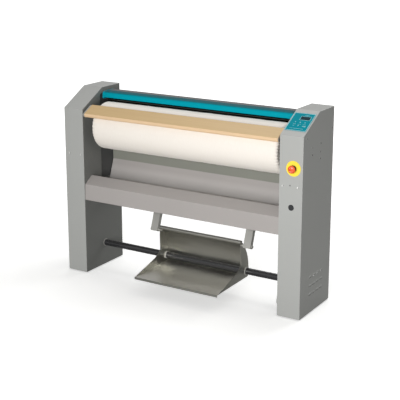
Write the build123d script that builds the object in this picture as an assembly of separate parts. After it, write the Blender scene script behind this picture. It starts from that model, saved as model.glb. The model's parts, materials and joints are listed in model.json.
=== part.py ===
from build123d import *
import os
from math import acos, asin, atan2, cos, degrees, hypot, pi, radians, sin, tan

# A roller ironer for flat linen: two sheet-metal columns carry a padded roller, a heated
# chest that swings onto it from behind, a wooden feed board, a laundry tray and a foot
# pedal. Millimetres; X to the operator's right, Y to the rear, Z up. The origin is on the
# floor, in the middle of the space that the whole machine takes up.

# ---- Driving dimensions -------------------------------------------------------------
WIDTH = 1500.0
HEIGHT = 1070.0
DEPTH = 490.0
COLUMN_WIDTH = 130.0
COLUMN_DEPTH = 360.0
KNEE_HEIGHT = 970.0
CHAMFER_DEPTH = 186.0
FLOOR_GAP = 5.0
SHEET = 2.0
BEND = 4.0
SEAM = 0.3
RUNNING = 0.05

FRAME_THICKNESS = 6.0
FRONT_SCREW_Z = 708.0
SIDE_SCREWS = [
    (-11, 896), (-11, 859), (89, 902), (85, 858),
    (85, 822), (-80, 955), (224, 959), (228, 656),
]
BACK_SCREW_ZS = (60.0, 535.0, 1010.0)
LOUVRE_YS = (5.0, 48.0, 92.0, 136.0)
LOUVRE_ZS = (109.0, 157.0, 205.0)
FOOT_YS = (-70.0, 200.0)
HOOD_Y = -75.0
HOOD_Z = 92.0

ROLLER_RADIUS = 135.0
ROLLER_AXIS = (22.0, 866.0)
ROLLER_LEFT = -567.0
ROLLER_RIGHT = 603.0
DRUM_RADIUS = 125.0
COVER_CLOTH = 2.0
SHOULDER = 18.0
HEM_RADIUS = 78.0
SHAFT_RADIUS = 17.5

CHEST_HALF = 606.0
CHEST_GAP = 3.0
CHEST_SWING = 2.5
CHEST_PIVOT = (185.0, 560.0)
CHEST_PIN = 10.0
SHOE_THICKNESS = 14.0
ELEMENT_RADIUS = 5.0
BLANKET_THICKNESS = 18.0
ARM_THICKNESS = 6.0

APRON_RIDGE = (-38.0, 577.0)
APRON_BEND = (-107.0, 535.0)
APRON_BOTTOM = 442.0
TRAY_FLOOR = 520.0
TRAY_BEND = (168.0, 630.0)
TRAY_TOP = 696.0

BAR_AXIS = (73.5, 136.0)
BAR_RADIUS = 18.5
BUSH_RADIUS = 21.0
PEDAL_LEFT = -190.0
PEDAL_RIGHT = 335.0
PEDAL_SHEET = 2.5
PEDAL_TOP = (22.0, 316.0)
TREAD_TOP = 103.0
HEM_ROLL = 11.0
HEM_DEPTH = 11.0

STRAP_FOOT = (24.0, 298.0)
STRAP_HEAD = (92.0, 486.0)
STRAP_CENTRES = (-229.0, 370.0)
STRAP_WIDTH = 44.0
STRAP_DEPTH = 26.0
STRAP_SHEET = 3.0
STRAP_PIN = 5.0
OPEN_PIVOT_GAP = 1.5

ROCKER_AXIS = (160.0, 462.0)
ROCKER_HALF = 598.5
ROCKER_SHAFT = 14.0
CRANK_THROW = 14.9

BOARD_REAR = (-53.0, 990.0)
BOARD_FRONT = (-127.0, 951.0)
BOARD_LEFT = -598.0
BOARD_RIGHT = 612.0
BOARD_TOE = (-126.0, 914.0)
BOARD_THIN = 5.0
END_CAP = 14.0
END_PLATE = 3.0
BOARD_PIVOT = (-98.0, 936.0)
BOARD_PIN = 5.0

BELT_X = 667.5
RIBS = 5
RIB_PITCH = 3.56
RIB_FLAT = 0.3
RIB_DEPTH = 2.6
BELT_BACK = 1.8
BELT_GAP = 0.3
ROLLER_PULLEY = 64.0
DRIVE_PULLEY = 32.0
PULLEY_HALF = 10.0
DRIVE_AXIS = (110.0, 630.0)
OUTPUT_SHAFT = 12.5
MOTOR_RADIUS = 40.0

FASCIA_CENTRE = (63.0, 110.5)
FASCIA_SIZE = (118.0, 141.0)
FASCIA_THICKNESS = 1.5
DISPLAY_CENTRE = (79.0, 141.0)
DISPLAY_SIZE = (52.0, 26.0)
KEYS = {
    "key_start": (38.0, 106.0),
    "key_stop": (65.0, 106.0),
    "key_speed": (92.0, 106.0),
    "key_cooler": (38.0, 78.0),
    "key_hotter": (65.0, 78.0),
}
KEY_RADIUS = 6.2
BOARD_LIFT = -17.0

ESTOP = (698.0, 804.0)
ESTOP_PLATE = 40.0
ESTOP_HEAD = 20.0
PLUNGER_RADIUS = 8.0
PLUG = (689.0, 600.0)
SMALL_HOLE = (680.0, 714.0)

# ---- Places worked out from them ----------------------------------------------------
OUTER_X = WIDTH / 2
INNER_X = OUTER_X - COLUMN_WIDTH
COLUMN_X = (INNER_X + OUTER_X) / 2
BACK_Y = DEPTH / 2
FRONT_Y = BACK_Y - COLUMN_DEPTH
PEDAL_FRONT = -DEPTH / 2
COVER_BACK_Y = BACK_Y - 1.5
SLOPE = atan2(HEIGHT - KNEE_HEIGHT, CHAMFER_DEPTH)
FRAME_X = INNER_X + SHEET + 2
FRAME_OUT = FRAME_X + FRAME_THICKNESS
ROLLER_Y, ROLLER_Z = ROLLER_AXIS
STRAP_LEAN = degrees(atan2(STRAP_HEAD[0] - STRAP_FOOT[0], STRAP_HEAD[1] - STRAP_FOOT[1]))
STRAP_SPAN = hypot(STRAP_HEAD[0] - STRAP_FOOT[0], STRAP_HEAD[1] - STRAP_FOOT[1])

os.makedirs("parts", exist_ok=True)


# ---- Shared operations --------------------------------------------------------------
def carry(section, x0, x1):
    """A section drawn in (y, z), carried straight across from x0 to x1."""
    return extrude(Plane.YZ.offset(x0) * section, amount=x1 - x0)


def prism(points, x0, x1):
    """A side profile of (y, z) points, carried straight across from x0 to x1."""
    return carry(make_face(Polyline(*points, close=True)), x0, x1)


def folded(points, x0, x1, side=Side.RIGHT, thickness=SHEET, bend=BEND):
    """Sheet metal bent along (y, z) points, with its thickness on one side of them."""
    line = FilletPolyline(*points, radius=bend)
    return carry(make_face(offset(line, amount=thickness, side=side)), x0, x1)


def rod(radius, x0, x1, at):
    """A round bar along X with its axis at (y, z)."""
    return carry(Pos(*at) * Circle(radius), x0, x1)


def ring(outer, inner, x0, x1, at):
    """A tube or washer along X with its axis at (y, z)."""
    return carry(Pos(*at) * (Circle(outer) - Circle(inner)), x0, x1)


def spun(section, at):
    """A section drawn in (x, radius), turned about a line along X through (y, z)."""
    return Pos(0, *at) * revolve(section, axis=Axis.X)


def barrel(radius, x0, x1, bore, shoulder):
    """A barrel on the roller's axis with rounded shoulders and a plain bore."""
    section = Pos((x0 + x1) / 2, (radius + bore) / 2) * Rectangle(x1 - x0, radius - bore)
    return spun(fillet(section.vertices().group_by(Axis.Y)[-1], shoulder), ROLLER_AXIS)


def polar(centre, radius, angle):
    return (centre[0] + radius * cos(angle), centre[1] + radius * sin(angle))


def arc_band(inner, thickness, start, stop):
    """A curved slab round the roller between two angles, counted from the rear upwards."""
    outer = inner + thickness
    low, high = radians(start), radians(stop)
    edges = [
        CenterArc(ROLLER_AXIS, inner, start, stop - start),
        Line(polar(ROLLER_AXIS, inner, high), polar(ROLLER_AXIS, outer, high)),
        CenterArc(ROLLER_AXIS, outer, start, stop - start),
        Line(polar(ROLLER_AXIS, outer, low), polar(ROLLER_AXIS, inner, low)),
    ]
    return carry(make_face(edges), -CHEST_HALF, CHEST_HALF)


def two_bosses(a, radius_a, b, radius_b):
    """The outline of a lever: two round bosses joined by their tangents."""
    along = atan2(b[1] - a[1], b[0] - a[0])
    tilt = asin((radius_a - radius_b) / hypot(b[0] - a[0], b[1] - a[1]))
    corners = [
        polar(a, radius_a, along + pi / 2 - tilt),
        polar(b, radius_b, along + pi / 2 - tilt),
        polar(b, radius_b, along - pi / 2 + tilt),
        polar(a, radius_a, along - pi / 2 + tilt),
    ]
    flanks = make_face(Polyline(*corners, close=True))
    return flanks + Pos(*a) * Circle(radius_a) + Pos(*b) * Circle(radius_b)


def front_plane(at):
    """A drawing plane on the column's front at (x, z), facing the operator."""
    return Plane(origin=(at[0], FRONT_Y, at[1]), x_dir=(1, 0, 0), z_dir=(0, -1, 0))


def chamfer_plane(at, lift=0.0):
    """A drawing plane on the right column's slope: along X from its inner edge, and up."""
    out = (0, -sin(SLOPE), cos(SLOPE))
    origin = (
        INNER_X + at[0],
        FRONT_Y + at[1] * cos(SLOPE) + lift * out[1],
        KNEE_HEIGHT + at[1] * sin(SLOPE) + lift * out[2],
    )
    return Plane(origin=origin, x_dir=(1, 0, 0), z_dir=out)


def bolt(radius, height, shank, length):
    """A low domed head on the drawing plane, with its shank going in."""
    head = extrude(Circle(radius), height)
    head = fillet(head.edges().group_by(Axis.Z)[-1], height * 0.6)
    return head + extrude(Circle(shank), -length)


def other_side(shape):
    """The mirror image across the middle of the machine."""
    return mirror(shape, about=Plane.YZ)


def both_sides(shape):
    return [shape, other_side(shape)]


def write(node, *pieces):
    """One STEP file for a node; pieces of one kind share it as separate solids."""
    solids = [solid for piece in pieces for solid in piece.solids()]
    export_step(solids[0] if len(solids) == 1 else Compound(solids), f"parts/{node}.step")


# ---- Columns ------------------------------------------------------------------------
def column_profile(inset, back, bottom):
    """The column from the side, drawn in from its front, slope and top by inset."""
    lower = inset * (1 - sin(SLOPE)) / cos(SLOPE)
    return [
        (FRONT_Y + inset, bottom),
        (FRONT_Y + inset, KNEE_HEIGHT - lower),
        (FRONT_Y + CHAMFER_DEPTH + inset * tan(SLOPE / 2), HEIGHT - inset),
        (back, HEIGHT - inset),
        (back, bottom),
    ]


def pressed_louvre(y, z):
    """A short louvre pressed out of the outer side near the floor."""
    blank = extrude(Rectangle(30, 9), 1.2, taper=40)
    return Pos(OUTER_X - 0.1, y, z) * Rot(0, 90, 0) * Rot(0, 0, 90) * blank


def column_casing():
    """Front, slope, top and outer side in one folded and welded shell."""
    block = prism(column_profile(0, BACK_Y, FLOOR_GAP), INNER_X, OUTER_X)
    across = block.edges().filter_by(Axis.X).filter_by(lambda e: e.center().Z > KNEE_HEIGHT - 1)
    block = fillet(across.filter_by(lambda e: e.center().Y < BACK_Y - 1), 6.0)
    rim = block.faces().sort_by(Axis.X)[-1].edges()
    rim = rim.filter_by(lambda e: e.center().Z > FLOOR_GAP + 1 and e.center().Y < BACK_Y - 1)
    block = fillet(rim, 2.5)
    block -= prism(column_profile(SHEET, BACK_Y + 5, FLOOR_GAP - 5), INNER_X - 1, OUTER_X - SHEET)
    for z in LOUVRE_ZS:
        for y in LOUVRE_YS:
            block += pressed_louvre(y, z)
            block -= Pos(OUTER_X, y, z - 5.5) * Box(6, 27, 3.6)
    for at in SIDE_SCREWS:
        block -= rod(2.5, OUTER_X - 5, OUTER_X + 5, at)
    return block


def front_hole(radius, at):
    return front_plane(at) * Cylinder(radius, 20)


LEFT_FRONT_SCREWS = [(-720.0, FRONT_SCREW_Z), (-641.5, FRONT_SCREW_Z)]
RIGHT_FRONT_SCREWS = [(638.0, FRONT_SCREW_Z), (722.0, FRONT_SCREW_Z)]
ESTOP_BARREL = 11.0
PLUG_BARREL = 13.0
right_casing = column_casing()
left_casing = other_side(right_casing)
for at in LEFT_FRONT_SCREWS:
    left_casing -= front_hole(2.5, at)
for at in RIGHT_FRONT_SCREWS:
    right_casing -= front_hole(2.5, at)
right_casing -= front_hole(ESTOP_BARREL, ESTOP)
right_casing -= front_hole(PLUG_BARREL, PLUG)
right_casing -= front_hole(3.2, SMALL_HOLE)
right_casing -= extrude(chamfer_plane(FASCIA_CENTRE, 5) * RectangleRounded(102, 124, 6), -15)
write("left_casing", left_casing)
write("right_casing", right_casing)


def inner_panel():
    """The wall towards the roller, set into the casing, with a window behind the chest."""
    inset = SHEET + SEAM
    panel = prism(column_profile(inset, COVER_BACK_Y - SHEET, FLOOR_GAP), INNER_X, INNER_X + SHEET)
    window = Pos(142, 785) * RectangleRounded(184, 500, 12)
    for opening in (
        window,
        Pos(*ROLLER_AXIS) * Circle(34),
        Pos(*BAR_AXIS) * Circle(BAR_RADIUS + 1),
        Pos(*BOARD_PIVOT) * Circle(BOARD_PIN + 1),
    ):
        panel -= carry(opening, INNER_X - 5, INNER_X + 5)
    return panel


GLAND_RADIUS = 11.0
left_panel = other_side(inner_panel())
right_panel = inner_panel() - rod(GLAND_RADIUS, INNER_X - 5, INNER_X + 5, (HOOD_Y, HOOD_Z))
write("left_inner_panel", left_panel)
write("right_inner_panel", right_panel)


def side_frame():
    """The steel plate inside each column that carries the shafts and pivots."""
    outline = make_face(Polyline(*column_profile(4, BACK_Y - 6, FLOOR_GAP + 3), close=True))
    for y, z, wide, high in ((65, 300, 190, 190), (-20, 620, 110, 230), (160, 930, 90, 100)):
        outline -= Pos(y, z) * RectangleRounded(wide, high, 25)
    for at, radius in (
        (ROLLER_AXIS, 30),
        (BAR_AXIS, BAR_RADIUS),
        (CHEST_PIVOT, CHEST_PIN),
        (BOARD_PIVOT, BOARD_PIN + RUNNING),
    ):
        outline -= Pos(*at) * Circle(radius)
    foot = Pos(FRAME_X + 25, (FRONT_Y + BACK_Y) / 2, FLOOR_GAP + 6) * Box(50, 300, 6)
    return carry(outline, FRAME_X, FRAME_OUT) + foot


write("left_side_frame", other_side(side_frame()))
write("right_side_frame", side_frame() - rod(15, FRAME_X - 5, FRAME_OUT + 5, (HOOD_Y, HOOD_Z)))


def back_cover():
    """A removable rear cover with two groups of ventilation slots."""
    high = HEIGHT - SHEET - SEAM - FLOOR_GAP
    cover = Box(COLUMN_WIDTH - SHEET - 2 * SEAM, SHEET, high)
    cover = Pos(COLUMN_X - SHEET / 2, COVER_BACK_Y - SHEET / 2, FLOOR_GAP + high / 2) * cover
    slot = Rot(90, 0, 0) * SlotOverall(70, 6)
    for z in (120, 138, 156, 174, 880, 898, 916, 934):
        cover -= extrude(Pos(COLUMN_X, BACK_Y + 2, z) * slot, amount=10, both=True)
    return cover


write("back_covers", *both_sides(back_cover()))

base_plate = Box(COLUMN_WIDTH - 2 * SHEET, COVER_BACK_Y - FRONT_Y - 2 * SHEET, 3)
base_plate = Pos(COLUMN_X, (FRONT_Y + COVER_BACK_Y) / 2, FLOOR_GAP + 1.5) * base_plate
feet = []
for y in FOOT_YS:
    base_plate -= Pos(COLUMN_X + 25, y, FLOOR_GAP) * Cylinder(5, 20)
    pad = extrude(Circle(18), 4)
    pad = chamfer(pad.edges().group_by(Axis.Z)[-1], 1.5)
    foot = pad + extrude(Circle(5), 40) + Pos(0, 0, FLOOR_GAP + 3) * extrude(RegularPolygon(9, 6), 8)
    feet.extend(both_sides(Pos(COLUMN_X + 25, y, 0) * foot))
write("base_plates", *both_sides(base_plate))
write("levelling_feet", *feet)

# ---- Tray, cross member and tie bar -----------------------------------------------------
apron_line = [
    (-90, APRON_BOTTOM),
    (-110, APRON_BOTTOM),
    APRON_BEND,
    APRON_RIDGE,
    (-31, TRAY_FLOOR - SHEET),
    (-8, TRAY_FLOOR - SHEET),
]
write("front_apron", folded(apron_line, -INNER_X, INNER_X))
tray_line = [(-27, TRAY_FLOOR), (130, TRAY_FLOOR + 2), TRAY_BEND, (TRAY_BEND[0], TRAY_TOP)]
write("rear_tray_plate", folded(tray_line, -INNER_X, INNER_X, bend=8.0))

MEMBER_BACK = 240.0
MEMBER_SHEET = 3.0
member_line = [(208, 440), (MEMBER_BACK, 440), (MEMBER_BACK, 522), (208, 522)]
member = folded(member_line, -INNER_X, INNER_X, side=Side.LEFT, thickness=MEMBER_SHEET)
write("rear_cross_member", member)


def rocker_bearing(x):
    """A bracket from the cross member's web that holds the rocker shaft."""
    outline = two_bosses(ROCKER_AXIS, 22, (219, ROCKER_AXIS[1]), 16)
    plate = carry(outline, x - 5, x + 5)
    flange = Pos(x, MEMBER_BACK - MEMBER_SHEET - 2, 481) * Box(40, 4, 66)
    return plate + flange - rod(ROCKER_SHAFT + RUNNING, x - 10, x + 10, ROCKER_AXIS)


write("rocker_bearings", *both_sides(rocker_bearing(560)))
write("pedal_bar", rod(BAR_RADIUS, -FRAME_OUT - 8, FRAME_OUT + 8, BAR_AXIS))
write("bar_collars", *both_sides(ring(22, BAR_RADIUS, INNER_X - 3, INNER_X, BAR_AXIS)))

# ---- Roller -----------------------------------------------------------------------------
DRUM_LEFT = ROLLER_LEFT + 12
DRUM_RIGHT = ROLLER_RIGHT - 12
under = ROLLER_RADIUS - COVER_CLOTH
under_left = ROLLER_LEFT + COVER_CLOTH
under_right = ROLLER_RIGHT - COVER_CLOTH
cloth = barrel(ROLLER_RADIUS, ROLLER_LEFT, ROLLER_RIGHT, HEM_RADIUS, SHOULDER)
cloth -= barrel(under, under_left, under_right, HEM_RADIUS - 5, SHOULDER - COVER_CLOTH)
write("roller_cover", cloth)
wadding = barrel(under, under_left, under_right, HEM_RADIUS + 12, SHOULDER - COVER_CLOTH)
write("roller_padding", wadding - rod(DRUM_RADIUS, DRUM_LEFT, DRUM_RIGHT, ROLLER_AXIS))


def end_disc(x0):
    """A drum end with six lightening holes round its hub."""
    section = Circle(DRUM_RADIUS - 4) - Circle(SHAFT_RADIUS)
    section -= PolarLocations(78, 6) * Circle(20)
    return carry(Pos(*ROLLER_AXIS) * section, x0, x0 + 6)


def roller_shaft(disc_face, end):
    """A stub shaft with a welded collar on the drum's end disc."""
    out = 1 if end > disc_face else -1
    collar = ring(34, SHAFT_RADIUS, *sorted((disc_face, disc_face + 14 * out)), ROLLER_AXIS)
    return collar + rod(SHAFT_RADIUS, *sorted((disc_face - 6 * out, end)), ROLLER_AXIS)


drum = ring(DRUM_RADIUS, DRUM_RADIUS - 4, DRUM_LEFT, DRUM_RIGHT, ROLLER_AXIS)
write("roller_drum", drum + end_disc(DRUM_LEFT + 4) + end_disc(DRUM_RIGHT - 10))
left_shaft = roller_shaft(DRUM_LEFT + 4, -FRAME_OUT - 40)
right_shaft = roller_shaft(DRUM_RIGHT - 4, BELT_X + 12)
write("roller_shafts", left_shaft, right_shaft)


def flange_bearing():
    """A four-bolt flange bearing on the outside of the side frame."""
    flange = carry(Pos(*ROLLER_AXIS) * RectangleRounded(104, 104, 14), FRAME_OUT, FRAME_OUT + 9)
    for y in (ROLLER_Y - 39, ROLLER_Y + 39):
        for z in (ROLLER_Z - 39, ROLLER_Z + 39):
            flange += carry(Pos(y, z) * RegularPolygon(7.5, 6), FRAME_OUT + 9, FRAME_OUT + 14)
    boss = [(FRAME_OUT + 8, 0), (FRAME_OUT + 8, 42), (FRAME_OUT + 26, 34), (FRAME_OUT + 26, 0)]
    flange += spun(make_face(Polyline(*boss, close=True)), ROLLER_AXIS)
    return flange - rod(SHAFT_RADIUS + RUNNING, FRAME_OUT - 5, FRAME_OUT + 40, ROLLER_AXIS)


write("flange_bearings", *both_sides(flange_bearing()))

# ---- Belt drive -------------------------------------------------------------------------
CENTRES = hypot(DRIVE_AXIS[0] - ROLLER_Y, DRIVE_AXIS[1] - ROLLER_Z)
TOWARDS_DRIVE = atan2(DRIVE_AXIS[1] - ROLLER_Z, DRIVE_AXIS[0] - ROLLER_Y)
TANGENT = acos((ROLLER_PULLEY - DRIVE_PULLEY) / CENTRES)
BELT_EDGE = RIBS * RIB_PITCH / 2


def ribs(radius):
    """The ribbed line in (x, radius) that the belt and its pulleys share."""
    points = []
    for k in range(RIBS):
        left = BELT_X - BELT_EDGE + k * RIB_PITCH
        points += [
            (left + RIB_FLAT, radius),
            (left + RIB_PITCH / 2 - RIB_FLAT, radius - RIB_DEPTH),
            (left + RIB_PITCH / 2 + RIB_FLAT, radius - RIB_DEPTH),
            (left + RIB_PITCH - RIB_FLAT, radius),
        ]
    return points


def pulley(radius, bore, at):
    """A pulley with a grooved rim, a thin web and a hub."""
    near, far = BELT_X - PULLEY_HALF, BELT_X + PULLEY_HALF
    rim = [(near, radius - 8), (near, radius), *ribs(radius), (far, radius), (far, radius - 8)]
    wheel = spun(make_face(Polyline(*rim, close=True)), at)
    wheel += ring(radius - 7, bore, BELT_X - 3, BELT_X + 3, at)
    return wheel + ring(bore + 12, bore, near, far, at)


roller_pulley = pulley(ROLLER_PULLEY, SHAFT_RADIUS, ROLLER_AXIS)
for hole in PolarLocations(43, 5):
    roller_pulley -= carry(Pos(*ROLLER_AXIS) * hole * Circle(9), BELT_X - 5, BELT_X + 5)
write("roller_pulley", roller_pulley)
output_shaft = rod(OUTPUT_SHAFT, BELT_X - PULLEY_HALF, BELT_X + 36, DRIVE_AXIS)
write("drive_pulley", pulley(DRIVE_PULLEY, OUTPUT_SHAFT, DRIVE_AXIS) + output_shaft)


def belt_section(at, radius, angle):
    """The belt cut across where it lies on a pulley, its back facing the given way."""
    near, far = BELT_X - BELT_EDGE, BELT_X + BELT_EDGE
    inside, back = radius + BELT_GAP, radius + BELT_GAP + BELT_BACK
    line = Polyline((near, back), (near, inside), *ribs(inside), (far, inside), (far, back), close=True)
    station = Plane(origin=(0, *at), x_dir=(1, 0, 0), z_dir=(0, -sin(angle), cos(angle)))
    return station * make_face(line)


def drive_belt():
    """The ribbed belt: an arc round each pulley and the two straight runs between."""
    first, second = TOWARDS_DRIVE - TANGENT, TOWARDS_DRIVE + TANGENT
    run = CENTRES * sin(TANGENT)
    half_wrap = degrees(TANGENT)
    belt = extrude(belt_section(ROLLER_AXIS, ROLLER_PULLEY, first), amount=run)
    belt += extrude(belt_section(DRIVE_AXIS, DRIVE_PULLEY, second), amount=run)
    for at, radius, start, wrap in (
        (ROLLER_AXIS, ROLLER_PULLEY, second, 360 - 2 * half_wrap),
        (DRIVE_AXIS, DRIVE_PULLEY, first, 2 * half_wrap),
    ):
        turning = Axis((0, *at), (1, 0, 0))
        belt += revolve(belt_section(at, radius, start), axis=turning, revolution_arc=wrap)
    return belt


write("drive_belt", drive_belt())

BOX_X = BELT_X + 14
BOX_OUT = OUTER_X - 8
BOX_HALF = 61.0


def gearbox():
    """A ribbed worm gearbox on standoffs from the side frame."""
    y, z = DRIVE_AXIS
    housing = carry(Pos(y, z) * RectangleRounded(112, 2 * BOX_HALF, 18), BOX_X, BOX_OUT)
    housing = chamfer(housing.faces().sort_by(Axis.X)[-1].edges(), 4)
    for dz in (-36, -12, 12, 36):
        housing += Pos((BOX_X + BOX_OUT) / 2, y, z + dz) * Box(BOX_OUT - BOX_X - 16, 124, 5)
    housing += rod(28, BOX_X - 3, BOX_X, DRIVE_AXIS)
    for dy, dz in ((-46, -50), (46, -50), (46, 50)):
        housing += rod(7, FRAME_OUT, BOX_X, (y + dy, z + dz))
    return housing - rod(OUTPUT_SHAFT + RUNNING, BOX_X - 10, BELT_X + 38, DRIVE_AXIS)


def motor():
    """The finned motor that hangs below the gearbox, with its terminal box."""
    ribs = PolarLocations(MOTOR_RADIUS - 4, 16) * Rectangle(8, 3)
    body = extrude(Circle(MOTOR_RADIUS - 4) + ribs, 130)
    body += extrude(Circle(MOTOR_RADIUS), 10)
    body += Pos(0, 0, 120) * extrude(Circle(MOTOR_RADIUS), 36)
    body += Pos(0, MOTOR_RADIUS + 6, 70) * Box(40, 24, 60)
    y, z = DRIVE_AXIS
    return Pos(BOX_OUT - MOTOR_RADIUS + 2, y, z - BOX_HALF) * Rot(180, 0, 0) * body


write("gearbox", gearbox())
write("motor", motor())

# ---- Heated chest -----------------------------------------------------------------------
SHOE_INNER = ROLLER_RADIUS + CHEST_GAP
ELEMENT_CIRCLE = SHOE_INNER + SHOE_THICKNESS + ELEMENT_RADIUS
BLANKET_INNER = ELEMENT_CIRCLE + ELEMENT_RADIUS
CREST_Y = 118.0
CREST_Z = 1048.0
COVER_FRONT = 65.0
COVER_LIP = 1013.0
pivot_line = Axis((0, *CHEST_PIVOT), (1, 0, 0))


def swung_open(shape):
    """Turn what is drawn closed round the roller back to its open place."""
    return shape.rotate(pivot_line, -CHEST_SWING)


shoe = arc_band(SHOE_INNER, SHOE_THICKNESS, -48, 62)
lips = shoe.edges().filter_by(Axis.X).filter_by(
    lambda e: hypot(e.center().Y - ROLLER_Y, e.center().Z - ROLLER_Z) < SHOE_INNER + 1
)
write("chest_shoe", swung_open(fillet(lips, 8.0)))

elements = []
for angle in (-36, -14, 8, 30, 52):
    at = polar(ROLLER_AXIS, ELEMENT_CIRCLE, radians(angle))
    elements.append(swung_open(rod(ELEMENT_RADIUS, -CHEST_HALF, CHEST_HALF, at)))
write("heating_elements", *elements)
write("chest_insulation", swung_open(arc_band(BLANKET_INNER, BLANKET_THICKNESS, -44, 58)))

front_cover_line = [
    (COVER_FRONT + 17, COVER_LIP),
    (COVER_FRONT, COVER_LIP),
    (COVER_FRONT, CREST_Z - 2),
    (CREST_Y, CREST_Z),
]
front_cover = folded(front_cover_line, -CHEST_HALF, CHEST_HALF, bend=(4.0, 17.0))
write("chest_front_cover", front_cover)
rear_cover_line = [(CREST_Y + 1, CREST_Z), (168, CREST_Z), (226, 988), (226, 722), (204, 716)]
rear_cover = folded(rear_cover_line, -CHEST_HALF, CHEST_HALF, thickness=1.5, bend=6.0)
write("chest_rear_cover", rear_cover)

CRANK_PIN = (ROCKER_AXIS[0], ROCKER_AXIS[1] - CRANK_THROW)
CRANK_PIN_RADIUS = 6.0


def chest_end_arm():
    """The chest's end plate, with its leg down past the pivot to the crank's slot."""
    outline = Polyline(
        (COVER_FRONT, COVER_LIP), (COVER_FRONT, CREST_Z - 2), (CREST_Y, CREST_Z),
        (168, CREST_Z), (226, 988), (230, 690), (205, 580), (203, 545),
        (176, 428), (144, 428), (148, 470), (165, 545), (165, 575),
        (199, 690), (140, 722), (112, 748), close=True,
    )
    section = make_face(outline)
    section = fillet(section.vertices().sort_by_distance((COVER_FRONT, CREST_Z, 0))[0], 17.0)
    section = fillet(section.vertices().filter_by(lambda v: v.Y < 700), 6.0)
    centre = swung_open(Pos(0, *ROLLER_AXIS) * Sphere(1)).center()
    section -= Pos(centre.Y, centre.Z) * Circle(SHOE_INNER)
    section -= Pos(*CHEST_PIVOT) * Circle(CHEST_PIN + RUNNING)
    heading = degrees(atan2(CHEST_PIVOT[1] - CRANK_PIN[1], CHEST_PIVOT[0] - CRANK_PIN[0]))
    section -= Pos(*CRANK_PIN) * Rot(0, 0, heading) * SlotOverall(20, 2 * CRANK_PIN_RADIUS + 0.6)
    return carry(section, CHEST_HALF, CHEST_HALF + ARM_THICKNESS)


write("chest_end_arms", *both_sides(chest_end_arm()))
pivot_pin = rod(CHEST_PIN, CHEST_HALF - 1, FRAME_OUT + 6, CHEST_PIVOT)
pivot_pin += rod(14, CHEST_HALF - 5, CHEST_HALF - 1, CHEST_PIVOT)
pivot_pin += rod(14, CHEST_HALF + ARM_THICKNESS + 1, FRAME_X, CHEST_PIVOT)
write("chest_pivot_pins", *both_sides(pivot_pin))

# ---- Pedal and its linkage ----------------------------------------------------------------
BACK_FOOT = (98.0, 140.0)
BACK_RUN = BACK_FOOT[0] - PEDAL_TOP[0]
BACK_RISE = PEDAL_TOP[1] - BACK_FOOT[1]
BACK_RADIUS = (BACK_RISE**2 + BACK_RUN**2) / (2 * BACK_RUN)
BACK_CENTRE = (BACK_FOOT[0] - BACK_RADIUS, BACK_FOOT[1])
BACK_SWEEP = degrees(asin(BACK_RISE / BACK_RADIUS))
HEEL_RADIUS = 16.0
TREAD_UNDER = TREAD_TOP - PEDAL_SHEET
TOE = (PEDAL_FRONT, TREAD_UNDER - 2)


def scoop_line():
    """The outer line of the scoop: curved back, rounded heel and tread."""
    heel_centre = (BACK_FOOT[0] - HEEL_RADIUS, TREAD_UNDER + HEEL_RADIUS)
    return [
        CenterArc(BACK_CENTRE, BACK_RADIUS, BACK_SWEEP, -BACK_SWEEP),
        Line(BACK_FOOT, (BACK_FOOT[0], heel_centre[1])),
        CenterArc(heel_centre, HEEL_RADIUS, 0, -90),
        Line((heel_centre[0], TREAD_UNDER), TOE),
    ]


def pedal_plate():
    """The folded scoop: back, tread and hem, two cheeks with gussets, and a rolled edge."""
    outer = Wire([e for part in scoop_line() for e in part.edges()])
    section = make_face(offset(outer, amount=PEDAL_SHEET, side=Side.RIGHT))
    y, z = TOE
    hem = [TOE, (y, z - HEM_DEPTH), (y + PEDAL_SHEET, z - HEM_DEPTH), (y + PEDAL_SHEET, z + 1)]
    section += make_face(Polyline(*hem, close=True))
    sheet = carry(section, PEDAL_LEFT, PEDAL_RIGHT)
    front_edge = Polyline(TOE, (-40, 150), (12, 183), (8, 262), (10, PEDAL_TOP[1]), PEDAL_TOP)
    cheek = make_face(scoop_line() + [front_edge])
    cheek -= Pos(*BAR_AXIS) * Circle(BUSH_RADIUS)
    cheek -= Pos(*STRAP_FOOT) * Circle(STRAP_PIN)
    for x in (PEDAL_LEFT, PEDAL_RIGHT - PEDAL_SHEET):
        sheet += carry(cheek, x, x + PEDAL_SHEET)
    roll = (PEDAL_TOP[0] - HEM_ROLL + 1.5, PEDAL_TOP[1] + 1)
    return sheet + rod(HEM_ROLL, PEDAL_LEFT, PEDAL_RIGHT, roll)


def pedal_bush(face, out):
    """A flanged bush in a cheek, turning on the tie bar."""
    bore = BAR_RADIUS + RUNNING
    flange = ring(BUSH_RADIUS + 3, bore, *sorted((face, face + 3 * out)), BAR_AXIS)
    return flange + ring(BUSH_RADIUS, bore, *sorted((face, face - 10 * out)), BAR_AXIS)


def strap_bolt(cheek, centre):
    """A bolt through a cheek, with a spacer, that the strap swings on."""
    out = 1 if centre > cheek else -1
    inner = cheek - PEDAL_SHEET * out
    near_face = centre - out * (STRAP_WIDTH / 2 + SEAM)
    far_face = centre + out * (STRAP_WIDTH / 2 + SEAM)
    piece = rod(STRAP_PIN, *sorted((inner, far_face + 8 * out)), STRAP_FOOT)
    piece += rod(8, *sorted((inner, inner - 5 * out)), STRAP_FOOT)
    piece += rod(9, *sorted((cheek, near_face)), STRAP_FOOT)
    nut = Pos(*STRAP_FOOT) * RegularPolygon(9, 6)
    return piece + carry(nut, *sorted((far_face, far_face + 6 * out)))


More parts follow.
